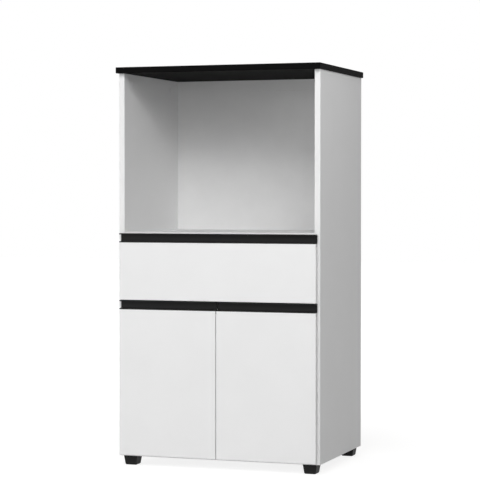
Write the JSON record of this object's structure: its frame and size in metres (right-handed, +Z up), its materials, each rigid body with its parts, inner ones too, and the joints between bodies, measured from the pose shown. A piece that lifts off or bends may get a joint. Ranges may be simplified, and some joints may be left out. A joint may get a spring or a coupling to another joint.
{
  "type": "microwave stand with drawer",
  "caption": "Tall narrow kitchen cabinet on short feet: an open bay for a microwave over a full-width drawer and a two-door cupboard, with recessed channel handles.",
  "frame": {"origin": "on the floor, under the middle of the whole stand: its box in X and Y, from the fronts to the rear edge of the top", "axes": "+X to the right and +Y towards the wall as the stand is faced, so the doors and the drawer face -Y; +Z up"},
  "size_m": [0.558, 0.4066, 1.0425],
  "materials": {
    "white_board": "white melamine foil over particle board, satin",
    "black_board": "black melamine foil over particle board, satin",
    "hardboard": "thin hardboard, white lacquer on the inner face",
    "beech": "fluted beech, unfinished",
    "black_plastic": "extruded, satin black",
    "foot_plastic": "moulded, matt black",
    "white_plastic": "moulded nylon, off-white",
    "coated_steel": "white epoxy over folded steel",
    "nickel_steel": "nickel-plated pressed steel",
    "zinc_steel": "zinc-plated"
  },
  "bodies": {
    "cabinet": {"left_side_panel": "white_board", "right_side_panel": "white_board", "top_panel": "black_board", "niche_floor": "white_board", "front_rail": "white_board", "rear_rail": "white_board", "base_panel": "white_board", "cupboard_shelf": "white_board", "niche_back_panel": "hardboard", "lower_back_panel": "hardboard", "front_left_foot": "foot_plastic", "front_right_foot": "foot_plastic", "rear_left_foot": "foot_plastic", "rear_right_foot": "foot_plastic", "foot_screws": "zinc_steel", "cam_locks": "zinc_steel", "cam_bolts": "zinc_steel", "cam_caps": "white_plastic", "dowels": "beech", "shelf_supports": "white_plastic", "back_panel_nails": "zinc_steel", "hinge_plates": "nickel_steel", "left_hinge_arms": "nickel_steel", "right_hinge_arms": "nickel_steel", "hinge_mounting_screws": "zinc_steel", "hinge_arm_pins": "zinc_steel", "left_cabinet_runner": "coated_steel", "right_cabinet_runner": "coated_steel", "cabinet_runner_screws": "zinc_steel"},
    "drawer": {"drawer_front": "white_board", "drawer_handle": "black_plastic", "drawer_left_side": "white_board", "drawer_right_side": "white_board", "drawer_inner_front": "white_board", "drawer_back": "white_board", "drawer_bottom": "hardboard", "left_drawer_runner": "coated_steel", "right_drawer_runner": "coated_steel", "drawer_runner_screws": "zinc_steel", "drawer_box_screws": "zinc_steel", "drawer_front_screws": "zinc_steel", "drawer_bumpers": "white_plastic"},
    "drawer_roller_pair": {"drawer_rollers": "white_plastic"},
    "cabinet_roller_pair": {"cabinet_rollers": "white_plastic"},
    "left_links": {"left_hinge_links": "nickel_steel"},
    "right_links": {"right_hinge_links": "nickel_steel"},
    "left_door_leaf": {"left_door": "white_board", "left_door_handle": "black_plastic", "left_hinge_cups": "nickel_steel", "left_cup_pins": "zinc_steel", "left_cup_screws": "zinc_steel", "left_door_bumpers": "white_plastic"},
    "right_door_leaf": {"right_door": "white_board", "right_door_handle": "black_plastic", "right_hinge_cups": "nickel_steel", "right_cup_pins": "zinc_steel", "right_cup_screws": "zinc_steel", "right_door_bumpers": "white_plastic"}
  },
  "joints": [
    {"name": "drawer_slide", "type": "slide", "parent": "cabinet", "child": "drawer", "axis": [0, -1, 0], "range_m": [0, 0.265]},
    {"name": "drawer_roller_turn", "type": "hinge", "parent": "drawer", "child": "drawer_roller_pair", "pos_m": [0, 0.14675, 0.457], "axis": [1, 0, 0], "continuous": true},
    {"name": "cabinet_roller_turn", "type": "hinge", "parent": "cabinet", "child": "cabinet_roller_pair", "pos_m": [0, -0.17125, 0.457], "axis": [1, 0, 0], "continuous": true},
    {"name": "left_link_swing", "type": "hinge", "parent": "cabinet", "child": "left_links", "pos_m": [-0.245, -0.19545, 0.2198], "axis": [0, 0, 1], "range_deg": [0, 50]},
    {"name": "left_door_swing", "type": "hinge", "parent": "left_links", "child": "left_door_leaf", "pos_m": [-0.25905, -0.18945, 0.2198], "axis": [0, 0, -1], "range_deg": [0, 150]},
    {"name": "right_link_swing", "type": "hinge", "parent": "cabinet", "child": "right_links", "pos_m": [0.245, -0.19545, 0.2198], "axis": [0, 0, -1], "range_deg": [0, 50]},
    {"name": "right_door_swing", "type": "hinge", "parent": "right_links", "child": "right_door_leaf", "pos_m": [0.25905, -0.18945, 0.2198], "axis": [0, 0, 1], "range_deg": [0, 150]}
  ],
  "couplings": [
    {"joint": "left_link_swing", "follows": "left_door_swing", "ratio": 0.33333},
    {"joint": "right_link_swing", "follows": "right_door_swing", "ratio": 0.33333}
  ]
}
